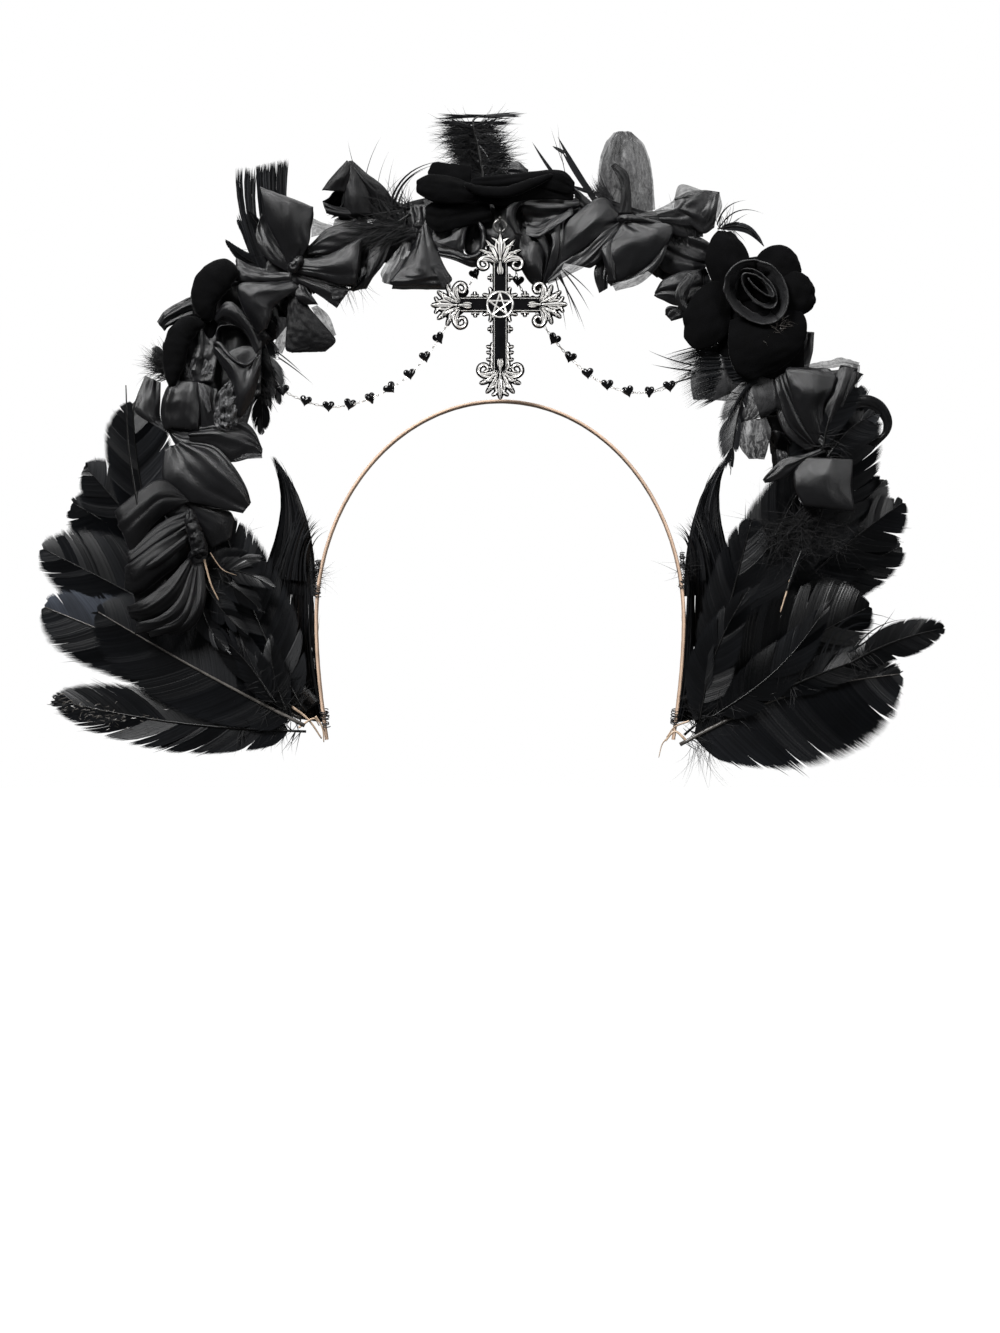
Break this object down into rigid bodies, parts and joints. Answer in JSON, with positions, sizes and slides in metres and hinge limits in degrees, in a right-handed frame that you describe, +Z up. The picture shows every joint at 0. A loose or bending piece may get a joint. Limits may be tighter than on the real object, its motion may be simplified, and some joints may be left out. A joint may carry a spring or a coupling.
{
  "type": "halo crown",
  "caption": "Headband carrying an arched halo of black feathers, satin bows and velvet flowers, with swags of heart beads and a hanging silver cross.",
  "frame": {"origin": "underside of the headband at its highest point, where it rests on the crown of the head", "axes": "+X to the viewer's right as the wearer faces the viewer, the line from ear to ear; -Y out of the front of the head, towards the viewer; +Z up the head"},
  "size_m": [0.3855, 0.0529, 0.2778],
  "materials": {
    "nude_band": "satin ribbon over a flat metal band",
    "black_tape": "wrapped, slightly glossy",
    "silver": "polished, blackened in the recesses",
    "black_glass": "opaque black glass, polished",
    "black_feather": "barbed, soft sheen",
    "black_velvet": "matt pile",
    "black_satin": "satin and sheer organza"
  },
  "bodies": {
    "crown": {"bead_left_01": "black_glass", "bead_left_02": "black_glass", "bead_left_03": "black_glass", "bead_left_04": "black_glass", "bead_left_05": "black_glass", "bead_left_06": "black_glass", "bead_left_07": "black_glass", "bead_left_08": "black_glass", "bead_left_09": "black_glass", "bead_left_10": "black_glass", "bead_left_11": "black_glass", "bead_left_12": "black_glass", "bead_right_01": "black_glass", "bead_right_02": "black_glass", "bead_right_03": "black_glass", "bead_right_04": "black_glass", "bead_right_05": "black_glass", "bead_right_06": "black_glass", "bead_right_07": "black_glass", "bead_right_08": "black_glass", "bead_right_09": "black_glass", "bead_right_10": "black_glass", "bow_left": "black_satin", "bow_right": "black_satin", "chiffon_rose": "black_satin", "feather_brush_right": "black_feather", "feather_left_broad": "black_feather", "feather_left_front": "black_feather", "feather_left_high": "black_feather", "feather_left_inner": "black_feather", "feather_left_low": "black_feather", "feather_left_middle": "black_feather", "feather_left_outer": "black_feather", "feather_left_upper": "black_feather", "feather_right_broad": "black_feather", "feather_right_front": "black_feather", "feather_right_high": "black_feather", "feather_right_inner": "black_feather", "feather_right_outer": "black_feather", "feather_right_twisted": "black_feather", "feather_right_upper": "black_feather", "feather_tuft_left": "black_feather", "halo_hoop": "black_tape", "headband": "nude_band", "pleated_rosette_left": "black_satin", "plume_top": "black_feather", "ribbon_loop_top_left": "black_satin", "ribbon_loop_top_right": "black_satin", "satin_bud": "black_satin", "satin_flower_left": "black_satin", "satin_petals_right": "black_satin", "satin_rosette_top": "black_satin", "strand_left": "silver", "strand_right": "silver", "velvet_flower_right": "black_velvet", "velvet_flower_top": "black_velvet", "velvet_petals_left": "black_velvet"},
    "ring": {"pendant_ring": "silver"},
    "cross": {"cross_pendant": "silver"}
  },
  "joints": [
    {"name": "ring_swing", "type": "hinge", "parent": "crown", "child": "ring", "pos_m": [0, -0.016, 0.0745], "axis": [0, 1, 0], "range_deg": [-18, 18]},
    {"name": "cross_swing", "type": "hinge", "parent": "ring", "child": "cross", "pos_m": [0, -0.016, 0.0709], "axis": [1, 0, 0], "range_deg": [-45, 5]}
  ]
}
